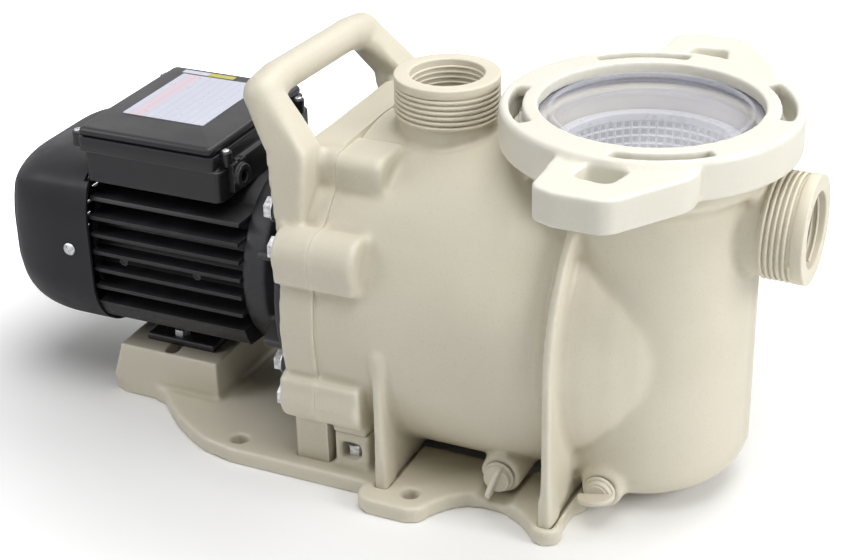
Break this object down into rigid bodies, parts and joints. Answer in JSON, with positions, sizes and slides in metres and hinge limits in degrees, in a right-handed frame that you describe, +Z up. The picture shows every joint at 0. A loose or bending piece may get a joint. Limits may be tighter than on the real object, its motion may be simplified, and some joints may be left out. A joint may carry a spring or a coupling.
{
  "type": "pool pump",
  "caption": "Self-priming pool pump with clear-lidded strainer pot, bayonet lock ring, volute body, carry handle, finned electric motor and base plate.",
  "frame": {"origin": "on the underside of the base plate, below the joint face between motor bracket and pump body, in the middle of the width", "axes": "+X along the shaft from the motor towards the inlet, +Y away from the side with the drain plugs, +Z up"},
  "size_m": [0.602, 0.302, 0.2937],
  "materials": {
    "beige": "satin",
    "ivory": "satin",
    "ceramic": "polished",
    "zinc": "bright",
    "steel": "machined",
    "laminations": "stacked",
    "copper": "enamelled",
    "brass": "machined",
    "rubber": "matt",
    "black_plastic": "matt",
    "dark_plastic": "satin",
    "clear_lid": "clear",
    "clear_basket": "translucent",
    "black_paint": "satin",
    "dark_paint": "satin",
    "plate": "bare"
  },
  "bodies": {
    "pump": {"pump_body": "beige", "base_plate": "beige", "base_bolts": "zinc", "bracket": "beige", "body_seal": "rubber", "bracket_bolts": "zinc", "diffuser": "black_plastic", "seal_seat": "ceramic", "motor_frame": "black_paint", "end_bell": "dark_paint", "rear_shield": "dark_paint", "fan_cover": "dark_plastic", "cover_screws": "zinc", "stator_core": "laminations", "windings": "copper", "front_bearing": "steel", "rear_bearing": "steel", "wave_spring": "zinc", "tie_bolts": "zinc", "motor_foot": "black_paint", "foot_bolts": "zinc", "flange_bolts": "zinc", "terminal_box": "dark_plastic", "box_gasket": "rubber", "box_lid": "dark_plastic", "lid_screws": "zinc", "capacitor": "black_plastic", "terminal_block": "ivory", "cord_entry": "dark_plastic", "rating_plates": "plate"},
    "rotor": {"shaft": "steel", "impeller": "black_plastic", "impeller_nut": "brass", "seal_head": "black_plastic", "seal_spring": "zinc", "slinger": "rubber", "rotor_core": "laminations", "cooling_fan": "black_plastic"},
    "basket": {"basket": "clear_basket"},
    "lid": {"strainer_lid": "clear_lid", "lid_seal": "rubber"},
    "ring": {"lock_ring": "ivory"},
    "volute_washer": {"volute_plug_seal": "rubber"},
    "volute_plug": {"volute_plug": "ivory"},
    "pot_washer": {"pot_plug_seal": "rubber"},
    "pot_plug": {"pot_plug": "ivory"}
  },
  "joints": [
    {"name": "rotor_spin", "type": "hinge", "parent": "pump", "child": "rotor", "pos_m": [0, 0, 0.1225], "axis": [1, 0, 0], "continuous": true},
    {"name": "basket_lift", "type": "slide", "parent": "pump", "child": "basket", "axis": [0, 0, 1], "range_m": [0, 0.23]},
    {"name": "lid_lift", "type": "slide", "parent": "basket", "child": "lid", "axis": [0, 0, 1], "range_m": [0, 0.12]},
    {"name": "ring_turn", "type": "hinge", "parent": "lid", "child": "ring", "pos_m": [0.198, 0, 0.27], "axis": [0, 0, 1], "range_deg": [-45, 0]},
    {"name": "volute_plug_out", "type": "slide", "parent": "pump", "child": "volute_washer", "axis": [0, -1, 0], "range_m": [0, 0.018]},
    {"name": "volute_plug_turn", "type": "hinge", "parent": "volute_washer", "child": "volute_plug", "pos_m": [0.127, -0.095, 0.024], "axis": [0, -1, 0], "range_deg": [0, 4320]},
    {"name": "pot_plug_out", "type": "slide", "parent": "pump", "child": "pot_washer", "axis": [0, -1, 0], "range_m": [0, 0.018]},
    {"name": "pot_plug_turn", "type": "hinge", "parent": "pot_washer", "child": "pot_plug", "pos_m": [0.198, -0.085, 0.024], "axis": [0, -1, 0], "range_deg": [0, 4320]}
  ],
  "couplings": [
    {"joint": "volute_plug_turn", "follows": "volute_plug_out", "rad_per_m": 4188.8},
    {"joint": "pot_plug_turn", "follows": "pot_plug_out", "rad_per_m": 4188.8}
  ]
}
